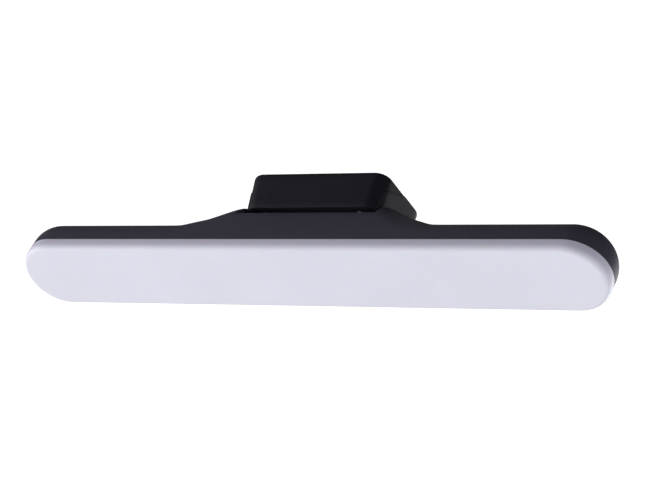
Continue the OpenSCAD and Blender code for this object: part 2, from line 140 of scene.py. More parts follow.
class LightBarSizes(bpy.types.PropertyGroup):
    """Lengths that shape the outer shells."""

    housing_back: length("Back of the bar", "Depth of the bar's back below the hinge axis", 9.2, 8, 10)
    back_round: length("Back rounding", "Radius of the housing's long back edges", 14, 10, 15)
    face_round: length("Edge depth", "Depth of the rounding of the diffuser's front edge", 3.6, 1, 6)
    face_sweep: length("Edge width", "Width of that rounding over the face", 2.2, 1, 3.4)
    wall: length("Housing wall", "Wall thickness of the housing", 1.8, 1.5, 2)
    opal_wall: length("Diffuser wall", "Wall thickness of the diffuser", 1.6, 1.2, 1.8)
    seam: length("Seam rounding", "Rounding of each side of the seam round the bar", 0.3, 0.1, 0.5)
    ear_face: length("Ear face", "Distance from the middle to each ear's inner face", 36.9, 36, 38)
    crown_round: length("Crown rounding", "Radius of the ears across the bar", 17.5, 15, 18)
    slope_run: length("Slope", "Length of each slope of the hump", 27, 24, 34)
    slope_soft: length("Slope softness", "How softly each slope starts and ends", 1.5, 0.5, 4)
    ear_edge: length("Ear edge", "Rounding of the ears' inner rims", 1.0, 0.3, 1.5)
    saddle_floor: length("Saddle depth", "Depth of the saddle's floor below the hinge", 7.4, 7, 7.8)
    saddle_edge: length("Saddle edge", "Rounding of the saddle's long edges", 2.6, 0.5, 5)
    block_draft: length("Block draft", "Lean of each side of the block at the underside", 1.1, 0.6, 1.3)
    block_corner: length("Block corner", "Corner radius of the block", 6.7, 5, 8)
    block_edge: length("Block edge", "Rounding round the mount face", 2.1, 1, 2.4)
    cap_proud: length("End cap", "How far the end caps stand out of the block", 0.4, 0.2, 1)
    button_dish: length("Button dish", "Depth of the dish in the power button", 0.35, 0, 0.6)


class LightBarFinishes(bpy.types.PropertyGroup):
    """Colours of the visible finishes."""

    housing_black: colour("Housing", "Black of the rear housing", (0.049, 0.046, 0.066))
    block_black: colour("Mount block", "Black of the mount block", (0.0100, 0.0090, 0.0150))
    # Painted light: the end caps' black is lighter than the block's, so the block's ends look lit
    cap_painted_light_black: colour("End caps", "Black of the mount block's end caps", (0.0170, 0.0160, 0.0230))
    opal: colour("Diffuser", "White of the opal diffuser", (0.772, 0.777, 0.862))
    # Painted shade: a darker white for the diffuser's side beside the housing
    opal_painted_shade: colour("Diffuser rim", "Shade of the diffuser beside the housing", (0.615, 0.598, 0.72))
    rubber_grey: colour("Grip pad", "Grey of the silicone grip pad", (0.075, 0.075, 0.080))
    button_black: colour("Power button", "Black of the power button", (0.035, 0.034, 0.040))
    floor_pale: colour("Floor", "Pale grey of the studio floor", (0.78, 0.78, 0.79))


def sizes():
    """The scene's own lengths of the light bar."""
    return bpy.context.scene.light_bar_sizes


def finishes():
    """The scene's own colours of the light bar."""
    return bpy.context.scene.light_bar_finishes


# ---------------------------------------------------------------- shader expressions

class Value:
    """A node socket that adds its own Math nodes when it is used in an expression."""

    def __init__(self, finish, socket):
        self.finish = finish
        self.socket = socket

    def math(self, operation, *others):
        """A Math node on this value and the others."""
        sockets = dict(enumerate((self, *others)))
        return self.finish.node("ShaderNodeMath", {"operation": operation}, sockets)

    def __add__(self, other):
        return self.math("ADD", other)

    __radd__ = __add__

    def __sub__(self, other):
        return self.math("SUBTRACT", other)

    def __rsub__(self, other):
        return self.finish.node("ShaderNodeMath", {"operation": "SUBTRACT"}, {0: other, 1: self})

    def __mul__(self, other):
        return self.math("MULTIPLY", other)

    __rmul__ = __mul__

    def __truediv__(self, other):
        return self.math("DIVIDE", other)

    def smooth(self, start, end):
        """0 before start, 1 after end, and a soft step between them."""
        return self.finish.node("ShaderNodeMapRange", {"interpolation_type": "SMOOTHSTEP"},
                                {"Value": self, "From Min": start, "From Max": end})


class Finish:
    """One procedural material: a Principled shader and the nodes that feed it."""

    def __init__(self, name, **constants):
        self.material = bpy.data.materials.new(name)
        self.material.use_nodes = True
        self.tree = self.material.node_tree
        self.shader = self.tree.nodes["Principled BSDF"]
        for socket, value in constants.items():
            self.shader.inputs[socket.replace("_", " ")].default_value = value

    def node(self, kind, settings, sockets, output=0):
        """Adds a node: its settings first, then the values or links of its sockets."""
        made = self.tree.nodes.new(kind)
        for key, value in settings.items():
            setattr(made, key, value)
        for key, value in sockets.items():
            if isinstance(value, Value):
                self.tree.links.new(value.socket, made.inputs[key])
            else:
                made.inputs[key].default_value = value
        return Value(self, made.outputs[output])

    def place(self, stretch=(1, 1, 1)):
        """Object coordinates in metres, stretched along each axis."""
        spot = self.node("ShaderNodeTexCoord", {}, {}, "Object")
        return self.node("ShaderNodeVectorMath", {"operation": "MULTIPLY"}, {0: spot, 1: stretch})

    def axis(self, vector, along):
        """How far a point lies along a direction."""
        sockets = {0: vector, 1: along}
        return self.node("ShaderNodeVectorMath", {"operation": "DOT_PRODUCT"}, sockets, "Value")

    def noise(self, scale, detail=2.0, stretch=(1, 1, 1), roughness=0.5):
        """Soft cloud from 0 to 1, with about scale blobs to a metre."""
        return self.node("ShaderNodeTexNoise", {}, {"Vector": self.place(stretch), "Scale": scale,
                                                    "Detail": detail, "Roughness": roughness})

    def cells(self, scale):
        """Distance from the nearest of many scattered points, with about scale of them to a metre."""
        return self.node("ShaderNodeTexVoronoi", {}, {"Vector": self.place(), "Scale": scale})

    def mix(self, share, first, second):
        """Colour that goes from first to second as share goes from 0 to 1."""
        return self.node("ShaderNodeMix", {"data_type": "RGBA"},
                         {0: share, 6: opaque(first), 7: opaque(second)}, 2)

    def feed(self, socket, value):
        """Links a value or a colour to a socket of the shader."""
        self.tree.links.new(value.socket, self.shader.inputs[socket])

    def bump(self, height, strength, distance):
        """Bump in which a height of 1 stands distance metres up."""
        self.feed("Normal", self.node("ShaderNodeBump", {}, {"Height": height, "Strength": strength,
                                                             "Distance": distance}))


def opaque(value):
    """A link as it is, or a colour with its alpha."""
    if isinstance(value, Value):
        return value
    return (*value, 1.0)[:4]


def shade(rgb, factor):
    """A colour made lighter or darker, worked out here and not in nodes."""
    return tuple(min(1.0, c * factor) for c in rgb)


# ---------------------------------------------------------------- materials

def spark_black(name, rgb, rough=0.46, gloss=0.3, grain=2600):
    """Black moulded plastic with a spark-eroded grain and faint flow and handling marks."""
    f = Finish(name, Specular_IOR_Level=gloss)
    flow = f.noise(38, 3.0, (0.35, 1, 1))
    fine = f.noise(grain, 2.0)
    pits = f.cells(grain * 0.8)
    scuff = f.noise(210, 4.0, (0.25, 1, 1), 0.65).smooth(0.60, 0.80)
    tone = (flow * 0.6 + fine * 0.4).smooth(0.25, 0.75)
    skin = f.mix(tone, shade(rgb, 0.86), shade(rgb, 1.14))
    f.feed("Base Color", f.mix(scuff * 0.25, skin, shade(rgb, 1.7)))
    f.feed("Roughness", (flow - 0.5) * 0.10 + (fine - 0.5) * 0.10 + rough + scuff * 0.05)
    f.bump(fine * 0.6 + pits * 0.4, 0.22, 0.00006)
    return f.material


def opal_plastic(name, rgb, painted_shade_rgb):
    """Opal diffusing plastic: milky, with painted shade where it runs down beside the housing."""
    f = Finish(name, Subsurface_Weight=0.12, Subsurface_Scale=0.004, Specular_IOR_Level=0.22)
    up = level_to_world().to_3x3() @ Vector((0, 0, 1))
    height = f.axis(f.place(), tuple(up))
    seam_level = up.dot(level_to_world() @ Vector((0, 0, PARTING)))
    below = (seam_level - height) / (PARTING - FACE)
    # Painted shade: share of the body colour, 0 at the seam beside the housing, where the painted shade
    # colour is, and 1 at the face
    rim = below.smooth(0.3, 1.2)
    cloud = f.noise(24, 3.0)
    grain = f.noise(3400, 1.0)
    body = f.mix(cloud.smooth(0.3, 0.7), shade(rgb, 0.985), shade(rgb, 1.015))
    f.feed("Base Color", f.mix(rim, painted_shade_rgb, body))
    f.feed("Roughness", cloud * 0.06 + grain * 0.04 + 0.36)
    f.bump(grain, 0.10, 0.00003)
    return f.material


def silicone(name, rgb):
    """Soft silicone with a fine moulded dot pattern."""
    f = Finish(name, Specular_IOR_Level=0.3, Sheen_Weight=0.08)
    dots = f.cells(620)
    dust = f.noise(300, 5.0, roughness=0.7).smooth(0.55, 0.85)
    skin = f.mix(dots.smooth(0.1, 0.6), shade(rgb, 1.15), shade(rgb, 0.8))
    f.feed("Base Color", f.mix(dust * 0.35, skin, shade(rgb, 2.2)))
    f.feed("Roughness", dust * 0.08 + 0.72)
    f.bump(1 - dots.smooth(0.15, 0.55), 0.5, 0.00008)
    return f.material


def turned_metal(name, rgb, rough=0.3, lines=900, stretch=(0.06, 1, 1)):
    """Metal with fine tool lines across X and a little tarnish."""
    f = Finish(name, Metallic=1.0)
    groove = f.noise(lines, 2.0, stretch)
    tarnish = f.noise(160, 4.0, roughness=0.6).smooth(0.5, 0.8)
    bright = f.mix(groove, shade(rgb, 0.9), shade(rgb, 1.1))
    f.feed("Base Color", f.mix(tarnish * 0.5, bright, shade(rgb, 0.55)))
    f.feed("Roughness", (groove - 0.5) * 0.16 + tarnish * 0.18 + rough)
    f.bump(groove, 0.15, 0.00003)
    return f.material


def plain_moulding(name, rgb, rough=0.5, variation=0.08, grain=1800):
    """Small moulded or coated part: faint cloud in its colour and a fine skin."""
    f = Finish(name, Specular_IOR_Level=0.4)
    cloud = f.noise(90, 3.0)
    fine = f.noise(grain, 2.0)
    tone = cloud.smooth(0.25, 0.75)
    f.feed("Base Color", f.mix(tone, shade(rgb, 1 - variation), shade(rgb, 1 + variation)))
    f.feed("Roughness", (cloud - 0.5) * 0.12 + (fine - 0.5) * 0.08 + rough)
    f.bump(fine, 0.15, 0.00004)
    return f.material


def circuit_board(name, mask, track):
    """Solder mask with the tracks under it showing as slightly raised, lighter runs."""
    f = Finish(name, Specular_IOR_Level=0.5)
    runs = f.node("ShaderNodeTexBrick", {"offset": 0.37, "squash": 0.6, "squash_frequency": 3},
                  {"Vector": f.place(), "Scale": 150, "Mortar Size": 0.05, "Mortar Smooth": 0.1,
                   "Brick Width": 0.9, "Row Height": 0.22}, "Fac")
    cloud = f.noise(60, 2.0)
    f.feed("Base Color", f.mix(runs, f.mix(cloud, shade(mask, 0.9), shade(mask, 1.1)), track))
    f.feed("Roughness", runs * 0.12 + cloud * 0.08 + 0.28)
    f.bump(runs, 0.3, 0.00004)
    return f.material


def foil_pouch(name, rgb):
    """Crinkled laminate of a flat cell."""
    f = Finish(name, Metallic=0.55)
    crease = f.noise(85, 6.0, (1, 1, 0.4), 0.7)
    f.feed("Base Color", f.mix(crease.smooth(0.35, 0.7), shade(rgb, 0.8), shade(rgb, 1.15)))
    f.feed("Roughness", crease * 0.25 + 0.28)
    f.bump(crease, 0.4, 0.0004)
    return f.material


def foam(name, rgb):
    """Closed-cell foam tape."""
    f = Finish(name, Specular_IOR_Level=0.2)
    pores = f.cells(1300)
    f.feed("Base Color", f.mix(pores.smooth(0.1, 0.5), shade(rgb, 0.6), shade(rgb, 1.2)))
    f.feed("Roughness", pores * 0.1 + 0.85)
    f.bump(pores, 0.6, 0.0002)
    return f.material


def phosphor(name, rgb, frame_rgb):
    """LED packages: a white frame all round and the yellow window on the side that shines."""
    f = Finish(name, Specular_IOR_Level=0.5)
    out = level_to_world().to_3x3() @ Vector((0, 0, -1))
    facing = f.axis(f.node("ShaderNodeNewGeometry", {}, {}, "Normal"), tuple(out)).smooth(0.6, 0.9)
    speck = f.noise(4000, 2.0)
    f.feed("Base Color", f.mix(facing, frame_rgb, f.mix(speck, shade(rgb, 0.9), shade(rgb, 1.08))))
    f.feed("Roughness", speck * 0.2 + 0.3)
    f.bump(speck, 0.15, 0.00003)
    return f.material


def clear_guide(name):
    """Clear moulded light guide with a faint haze in it."""
    f = Finish(name, Transmission_Weight=0.85, IOR=1.49)
    haze = f.noise(900, 3.0)
    f.feed("Base Color", f.mix(haze, (0.86, 0.91, 0.93), (0.95, 0.98, 1.0)))
    f.feed("Roughness", haze * 0.12 + 0.10)
    return f.material


def painted_floor(name, rgb):
    """Pale matt studio floor with a barely visible mottle, and a glow that keeps it pale."""
    f = Finish(name, Specular_IOR_Level=0.2, Emission_Strength=0.66)
    cloud = f.noise(1.2, 3.0)
    pale = f.mix(cloud, shade(rgb, 0.97), shade(rgb, 1.03))
    f.feed("Base Color", pale)
    f.feed("Emission Color", pale)
    f.feed("Roughness", cloud * 0.1 + 0.8)
    return f.material


# ---------------------------------------------------------------- mesh tools

def object_from(name, mesh_data):
    """Object in the scene that holds that mesh."""
    made = bpy.data.objects.new(name, mesh_data)
    bpy.context.scene.collection.objects.link(made)
    return made


def soften(mesh, degrees=32):
    """Smooth shading, with edges sharper than that many degrees kept crisp."""
    mesh.shade_smooth()
    mesh.set_sharp_from_angle(angle=math.radians(degrees))


def mesh_from(name, points, faces, weld=1e-7):
    """Mesh whose coincident points are welded and whose faces all look outward."""
    mesh = bpy.data.meshes.new(name)
    bm = bmesh.new()
    verts = [bm.verts.new(p) for p in points]
    for face in faces:
        bm.faces.new([verts[i] for i in face])
    bmesh.ops.remove_doubles(bm, verts=bm.verts, dist=weld)
    bmesh.ops.dissolve_degenerate(bm, edges=bm.edges, dist=weld)
    bmesh.ops.recalc_face_normals(bm, faces=bm.faces)
    bm.to_mesh(mesh)
    bm.free()
    return mesh


def grid_faces(rows, columns, start=0, wrap=False):
    """Quads over a grid of points that is stored row by row."""
    across = columns if wrap else columns - 1
    return [(start + i * columns + j, start + i * columns + (j + 1) % columns,
             start + (i + 1) * columns + (j + 1) % columns, start + (i + 1) * columns + j)
            for i in range(rows - 1) for j in range(across)]


def closed_loft(name, rings):
    """Skin over closed rings, with a face over the first and the last of them."""
    count = len(rings[0])
    faces = grid_faces(len(rings), count, wrap=True)
    last = (len(rings) - 1) * count
    faces.append(tuple(range(count - 1, -1, -1)))
    faces.append(tuple(range(last, last + count)))
    return mesh_from(name, [p for ring in rings for p in ring], faces)


def combine(target, tool, operation):
    """Cuts or keeps target by tool, and throws the tool away."""
    step = target.modifiers.new(operation, "BOOLEAN")
    step.operation = operation
    step.solver = "MANIFOLD"
    step.object = tool
    bake(target)
    bpy.data.objects.remove(tool)


def bake(target):
    """Applies the object's modifiers to its mesh."""
    depsgraph = bpy.context.evaluated_depsgraph_get()
    mesh = bpy.data.meshes.new_from_object(target.evaluated_get(depsgraph))
    target.modifiers.clear()
    target.data = mesh


def rounded_edges(target, width, segments=2, degrees=40):
    """Rounds every edge that turns more than that many degrees."""
    step = target.modifiers.new("edges", "BEVEL")
    step.width = width
    step.segments = segments
    step.limit_method = "ANGLE"
    step.angle_limit = math.radians(degrees)
    step.use_clamp_overlap = True
    bake(target)


def arc(centre, radius, start, end, steps):
    """Points round a centre, from one angle to another in degrees."""
    turns = (math.radians(start + (end - start) * i / steps) for i in range(steps + 1))
    return [(centre[0] + radius * math.cos(t), centre[1] + radius * math.sin(t)) for t in turns]


def line(start, end, steps=1):
    """Evenly spaced points after start, up to and with end."""
    run, rise = end[0] - start[0], end[1] - start[1]
    return [(start[0] + run * i / steps, start[1] + rise * i / steps) for i in range(1, steps + 1)]


def pill_mesh(name, stations, end_profile, end_steps=40):
    """Closed shell of a bar with round ends.

    stations is a list of (x, half profile), and each half profile runs from the middle of the
    outer skin, out and round the rim, to the middle of the inner skin.
    """
    count = len(end_profile)
    points, faces = [], []
    for side in (1, -1):
        start = len(points)
        points += [(x, side * r, z) for x, profile in stations for r, z in profile]
        faces += grid_faces(len(stations), count, start)
    for end in (1, -1):
        start = len(points)
        turns = [math.pi * (i / end_steps - 0.5) for i in range(end_steps + 1)]
        points += [(end * (SPAN + r * math.cos(t)), r * math.sin(t), z)
                   for t in turns for r, z in end_profile]
        faces += grid_faces(end_steps + 1, count, start)
    return mesh_from(name, points, faces, weld=2e-6)


def put_in_place(mesh):
    """Moves a level mesh to the bar's rest place."""
    mesh.transform(level_to_world())


def finish_piece(piece, body, replaced, material):
    """Gives a piece its material and tells the frame what it is."""
    piece.data.materials.clear()
    piece.data.materials.append(material)
    soften(piece.data)
    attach(piece, body)
    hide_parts(replaced)


# ---------------------------------------------------------------- housing

EAR_LAND = 1.4 * MM                     # level part of each ear's top, before its slope
SLOPE_TAIL = 12 * MM                    # how far the fine steps go on past the end of a slope
CROWN_LEAD = 1.8                        # the ears' section is reached at 1 / 1.8 of the rise
SLOT_PLAY = 0.25 * MM                   # play round the port and the button
LENS_PLAY = 0.05 * MM
WALL_REACH = 6 * MM                     # how far a cutter goes to each side of the rear side

# Steps along each stretch of a half section, and along the bar
SIDE_STEPS = 8
CROWN_STEPS = 20
SHOULDER_STEPS = 8
FLAT_STEPS = 5
SLOPE_STEPS = 44
BAR_STEPS = 16


def soft_plus(value):
    """0 far below zero and the value itself far above it, with a soft bend between."""
    return value if value > 12 else math.log1p(math.exp(value))


def hump_rise(x):
    """1 over the ears and 0 past the slopes, straight between them and soft at both ends."""
    s = sizes()
    start = s.ear_face + EAR_LAND
    end = start + s.slope_run
    rise = soft_plus((end - x) / s.slope_soft) - soft_plus((start - x) / s.slope_soft)
    return rise * s.slope_soft / s.slope_run


def hump_top(x):
    """Height of the hump's ridge line, which is as high as the CAD's at the ears."""
    s = sizes()
    share = hump_rise(x) / hump_rise(s.ear_face + s.ear_edge)
    return -s.housing_back + (HOUSING_HIGH.z + s.housing_back) * min(1.0, share)


def saddle_round():
    """Centre of the saddle's edge round, and the angle at which it meets the crowned side."""
    s = sizes()
    inner = s.crown_round - s.saddle_edge
    centre_z = hump_top(s.ear_face + s.ear_edge) - s.crown_round
    drop = -s.saddle_floor - s.saddle_edge - centre_z
    across = math.sqrt(inner ** 2 - drop ** 2)
    centre = (HALF_WIDTH - s.crown_round + across, -s.saddle_floor - s.saddle_edge)
    return centre, math.degrees(math.atan2(drop, across))


def outer_line(top, round_off):
    """Outer skin of half a section, from its middle down to the seam."""
    crown, shoulder = HALF_WIDTH - round_off, top - round_off
    meet = saddle_round()[1]
    points = [(0.0, top)] + line((0.0, top), (crown, top), FLAT_STEPS)
    points += arc((crown, shoulder), round_off, 90, meet, CROWN_STEPS)[1:]
    return points + side_line(shoulder, round_off)


def side_line(shoulder, round_off):
    """Rest of the outer skin: the foot of the rounding, the straight side and the seam's edge."""
    s = sizes()
    foot = (HALF_WIDTH - round_off, shoulder)
    points = arc(foot, round_off, saddle_round()[1], 0, SHOULDER_STEPS)[1:]
    points += line((HALF_WIDTH, shoulder), (HALF_WIDTH, PARTING + s.seam), SIDE_STEPS)
    return points + arc((HALF_WIDTH - s.seam, PARTING + s.seam), s.seam, 0, -90, 4)[1:]


def inner_line():
    """Inner skin of half a section, from the seam back to the middle."""
    s = sizes()
    half = HALF_WIDTH - s.wall
    top = -s.housing_back - s.wall
    round_off = s.back_round - s.wall
    points = line((HALF_WIDTH - s.seam, PARTING), (half, PARTING), 2)
    points += line((half, PARTING), (half, top - round_off), 3)
    points += arc((half - round_off, top - round_off), round_off, 0, 90, 12)[1:]
    return points + line((half - round_off, top), (0.0, top), 2)


def slope_section(x):
    """Outer skin at a station outside the saddle."""
    s = sizes()
    share = min(1.0, CROWN_LEAD * hump_rise(x))
    share = share * share * (3 - 2 * share)
    return outer_line(hump_top(x), s.back_round + (s.crown_round - s.back_round) * share)


def saddle_section():
    """Outer skin between the ears: their own crowned side, cut off level at the floor."""
    s = sizes()
    floor = -s.saddle_floor
    edge, meet = saddle_round()
    points = [(0.0, floor)] + line((0.0, floor), (edge[0], floor), FLAT_STEPS)
    points += arc(edge, s.saddle_edge, 90, meet, CROWN_STEPS)[1:]
    return points + side_line(hump_top(s.ear_face + s.ear_edge) - s.crown_round, s.crown_round)


def between(first, second, share):
    """Section that lies a share of the way from the first one to the second."""
    return [(a[0] + (b[0] - a[0]) * share, a[1] + (b[1] - a[1]) * share)
            for a, b in zip(first, second)]


def drawn_in(points, others, depth):
    """Points pulled in along their own normals, and less where they meet the other line."""
    pulled = []
    for i, (r, z) in enumerate(points):
        before, after = points[max(i - 1, 0)], points[min(i + 1, len(points) - 1)]
        tangent = Vector((after[0] - before[0], after[1] - before[1]))
        normal = Vector((-tangent.y, tangent.x)).normalized() if tangent.length else Vector((0, 1))
        gap = math.hypot(r - others[i][0], z - others[i][1])
        pull = -min(depth, gap * 0.45)      # less than half the gap, so the lines never cross
        inward = max(0.0, r + normal.x * pull) if i else r
        pulled.append((inward, z + normal.y * pull))
    return pulled


def housing_stations():
    """Half sections of the housing from one round end to the other."""
    s = sizes()
    ear = s.ear_face
    floor, ridge = saddle_section(), slope_section(ear + s.ear_edge)
    inner = inner_line()
    half = [(0.0, floor), (ear * 0.5, floor), (ear - 0.8 * MM, floor)]
    # a small fillet where the floor meets the ear, then the ear's upright face
    half += [(ear - 0.25 * MM, between(floor, ridge, 0.015)), (ear, between(floor, ridge, 0.06))]
    half += [(ear, between(floor, drawn_in(ridge, floor, s.ear_edge), share)) for share in (0.4, 0.75)]
    for degrees in range(0, 91, 15):
        turn = math.radians(degrees)
        inset = s.ear_edge * (1 - math.sin(turn))
        half.append((ear + s.ear_edge * (1 - math.cos(turn)), drawn_in(ridge, floor, inset)))
    first = ear + s.ear_edge
    reach = s.slope_run + SLOPE_TAIL
    last = first + reach
    places = [first + reach * i / SLOPE_STEPS for i in range(1, SLOPE_STEPS + 1)]
    places += [last + (SPAN - last) * i / BAR_STEPS for i in range(1, BAR_STEPS + 1)]
    half += [(x, slope_section(x)) for x in places]
    mirrored = [(-x, section) for x, section in reversed(half[1:])]
    return [(x, section + inner) for x, section in (*mirrored, *half)]


def slot_tool(low, high, play):
    """Cutter with round ends, from inside the rear wall to well outside it."""
    cx, cz = (low.x + high.x) / 2, (low.z + high.z) / 2
    radius = (high.z - low.z) / 2 + play
    flat = (high.x - low.x) / 2 + play - radius
    outline = arc((flat, 0), radius, -90, 90, 16) + arc((-flat, 0), radius, 90, 270, 16)
    rings = [[(cx + x, y, cz + z) for x, z in outline]
             for y in (HALF_WIDTH - WALL_REACH, HALF_WIDTH + WALL_REACH)]
    return object_from("cutter", closed_loft("cutter", rings))


class LIGHTBAR_OT_housing(bpy.types.Operator):
    """Build the rear housing with its hump, saddle and the openings in its rear side"""

    bl_idname = "light_bar.housing"
    bl_label = "Rear housing"

    def execute(self, context):
        stations = housing_stations()
        name = "rear_housing_shell"
        housing = object_from(name, pill_mesh(name, stations, stations[-1][1]))
        openings = ((PORT_LOW, PORT_HIGH, SLOT_PLAY), (*button_cap_box(), SLOT_PLAY),
                    (*lens_box(), LENS_PLAY))
        for low, high, play in openings:
            combine(housing, slot_tool(low, high, play), "DIFFERENCE")
        put_in_place(housing.data)
        finish_piece(housing, "light_bar", "rear_housing",
                     spark_black("satin_black_housing", finishes().housing_black, 0.52, 0.18))
        return {"FINISHED"}


# ---------------------------------------------------------------- diffuser

SKIRT_PLAY = 0.1 * MM                   # between the skirt and the housing's wall
SKIRT_WALL = 1.1 * MM
RIM_DEPTH = 1.2 * MM                    # depth of the rim that carries the skirt
RIM_SLOPE = 0.4 * MM
INNER_ROUND = 1.2 * MM


def diffuser_profile():
    """Half section of the diffuser, from the middle of its face to the middle of its inside."""
    s = sizes()
    rim = PARTING - s.seam
    wall = s.opal_wall
    corner = HALF_WIDTH - s.face_sweep
    points = [(0.0, FACE)] + line((0.0, FACE), (corner, FACE), 6)
    stretch = s.face_sweep / s.face_round
    edge = arc((0, FACE + s.face_round), s.face_round, -90, 0, 20)[1:]
    points += [(corner + r * stretch, z) for r, z in edge]
    points += line((HALF_WIDTH, FACE + s.face_round), (HALF_WIDTH, rim), 5)
    points += arc((HALF_WIDTH - s.seam, rim), s.seam, 0, 90, 4)[1:]
    skirt_out = HALF_WIDTH - s.wall - SKIRT_PLAY
    skirt_in = skirt_out - SKIRT_WALL
    skirt_top = DIFFUSER_HIGH.z
    skirt_foot, wall_top = PARTING - RIM_DEPTH, PARTING - RIM_DEPTH - RIM_SLOPE
    inside = HALF_WIDTH - wall
    bend = (inside - INNER_ROUND, FACE + wall + INNER_ROUND)
    points += line((HALF_WIDTH - s.seam, PARTING), (skirt_out, PARTING))
    points += line((skirt_out, PARTING), (skirt_out, skirt_top), 2)
    points += line((skirt_out, skirt_top), (skirt_in, skirt_top))
    points += line((skirt_in, skirt_top), (skirt_in, skirt_foot), 2)
    points += line((skirt_in, skirt_foot), (inside, wall_top))
    points += line((inside, wall_top), (inside, bend[1]), 2)
    points += arc(bend, INNER_ROUND, 0, -90, 6)[1:]
    return points + line((bend[0], FACE + wall), (0.0, FACE + wall), 3)


class LIGHTBAR_OT_diffuser(bpy.types.Operator):
    """Build the opal diffuser with its rounded front edge and its skirt"""

    bl_idname = "light_bar.diffuser"
    bl_label = "Diffuser"

    def execute(self, context):
        profile = diffuser_profile()
        steps = 32
        stations = [(SPAN * (2 * i / steps - 1), profile) for i in range(steps + 1)]
        mesh = pill_mesh("opal_diffuser", stations, profile, end_steps=64)
        diffuser = object_from("opal_diffuser", mesh)
        put_in_place(diffuser.data)
        finish_piece(diffuser, "light_bar", "diffuser",
                     opal_plastic("opal_diffuser", finishes().opal, finishes().opal_painted_shade))
        return {"FINISHED"}


# ---------------------------------------------------------------- mount block

CORNER_STEPS = 10                       # round each corner of the block's plan
EDGE_STEPS = 8                          # along each side of the plan
BLOCK_SIDE_STEPS = 6
RIM_STEPS = 8                           # over the rounding round the mount face
SMALLEST_CORNER = 0.6 * MM

# Shell: its inside, its lower edge, and the seats of the pad and the caps
END_WALL = 3 * MM                       # from the plate's end to the room in the shell
ROOF = 1.9 * MM
ROOM_CORNER = 3 * MM
PLATE_PLAY = 0.15 * MM
MOUTH_FLARE = 0.2 * MM                  # bevel round the mouth of that room
FOOT_ROUND = 0.3 * MM
PAD_PLAY = 0.15 * MM
PAD_CORNER = 4.5 * MM
SEAT_FLARE = 0.25 * MM                  # bevel round the pad's seat
CAP_SEAM = 0.18 * MM                    # gap between a cap and its seat in the shell

# End caps, as seen from the side
CAP_FOOT = 0.1 * MM                     # how far above the underside a cap ends
CAP_EDGE = 0.16 * MM
CAP_ROOM = 12 * MM                      # how far a cap's zone goes outward from its inner face
KNEE_HEIGHT = 10.2 * MM                 # where a cap's front edge turns back, above the underside
CREST_PLACE = 0.6 * MM                  # where its slant meets its level top
KNEE_ROUND = 1.5 * MM
CREST_ROUND = 14 * MM
REAR_ROUND = 1.8 * MM

HINGE_CUT_RADIUS = 4.5 * MM             # the plate's round lugs and the room round them
HINGE_CUT_REACH = 50 * MM


def rounded_plan(half_l, half_w, radius, z):
    """Closed ring round a rounded rectangle at one level."""
    radius = min(radius, half_l, half_w)
    corners = [(1, 1, 0), (-1, 1, 90), (-1, -1, 180), (1, -1, 270)]
    ring = []
    for sx, sy, start in corners:
        centre = (sx * (half_l - radius), sy * (half_w - radius))
        ring += arc(centre, radius, start, start + 90, CORNER_STEPS)
    filled = []
    for i, point in enumerate(ring):
        filled.append(point)
        after = ring[(i + 1) % len(ring)]
        if (i + 1) % (CORNER_STEPS + 1) == 0:
            filled += line(point, after, EDGE_STEPS)[:-1]
    return [(x, y, z) for x, y in filled]


def block_rings(grow, low):
    """Rings of the block's outside, grown all round, from its underside to its mount face."""
    s = sizes()
    half_l, half_w, top = BLOCK_HIGH.x + grow, BLOCK_HIGH.y + grow, BLOCK_HIGH.z
    radius = s.block_corner + grow
    rings = []
    knee = top - s.block_edge
    for i in range(BLOCK_SIDE_STEPS + 1):
        level = low + (knee - low) * i / BLOCK_SIDE_STEPS
        lean = s.block_draft * (knee - level) / (knee - BLOCK_LOW.z)
        rings.append(rounded_plan(half_l - lean, half_w - lean, radius, level))
    for i in range(1, RIM_STEPS + 1):
        turn = math.radians(90 * i / RIM_STEPS)
        inset = s.block_edge * (1 - math.cos(turn))
        corner = max(radius - inset, SMALLEST_CORNER)
        level = knee + s.block_edge * math.sin(turn)
        rings.append(rounded_plan(half_l - inset, half_w - inset, corner, level))
    return rings


def rounded_corner(before, corner, after, radius, steps=6):
    """Arc that rounds the corner of an outline, as points in the outline's own order."""
    to_before = (Vector(before) - Vector(corner)).normalized()
    to_after = (Vector(after) - Vector(corner)).normalized()
    half = to_before.angle(to_after) / 2
    centre = Vector(corner) + (to_before + to_after).normalized() * radius / math.sin(half)
    start = Vector(corner) + to_before * radius / math.tan(half) - centre
    end = Vector(corner) + to_after * radius / math.tan(half) - centre
    turn = start.angle_signed(end)
    first = math.atan2(start.y, start.x)
    return [(centre.x + radius * math.cos(first - turn * i / steps),
             centre.y + radius * math.sin(first - turn * i / steps)) for i in range(steps + 1)]


def cap_side_view(grow):
    """Outline of an end cap seen from the side, as (across, up) points."""
    low = BLOCK_LOW.z - 2 * MM          # past the underside: the cap's own rings end it
    front, rear = CAP_LOW.y - grow, CAP_HIGH.y + grow
    top = CAP_HIGH.z + grow
    knee = (front, BLOCK_LOW.z + KNEE_HEIGHT + grow)
    crest = (CREST_PLACE, top)
    outline = [(front, low)]
    outline += rounded_corner((front, low), knee, crest, KNEE_ROUND)
    outline += rounded_corner(knee, crest, (rear, top), CREST_ROUND, 8)
    outline += rounded_corner(crest, (rear, top), (rear, low), REAR_ROUND)
    return outline + [(rear, low)]


def cap_zone(side, grow):
    """Prism that holds one end cap, made a little larger to cut its seat."""
    inner = CAP_LOW.x - grow
    rings = [[(side * x, y, z) for y, z in cap_side_view(grow)] for x in (inner, inner + CAP_ROOM)]
    return object_from("zone", closed_loft("zone", rings))


def hinge_tool():
    """Round cutter along the hinge axis, through the whole block."""
    ring = arc((0, HINGE.z), HINGE_CUT_RADIUS, 0, 350, 35)
    rings = [[(x, y, z) for y, z in ring] for x in (-HINGE_CUT_REACH, HINGE_CUT_REACH)]
    return object_from("hinge_tool", closed_loft("hinge_tool", rings))


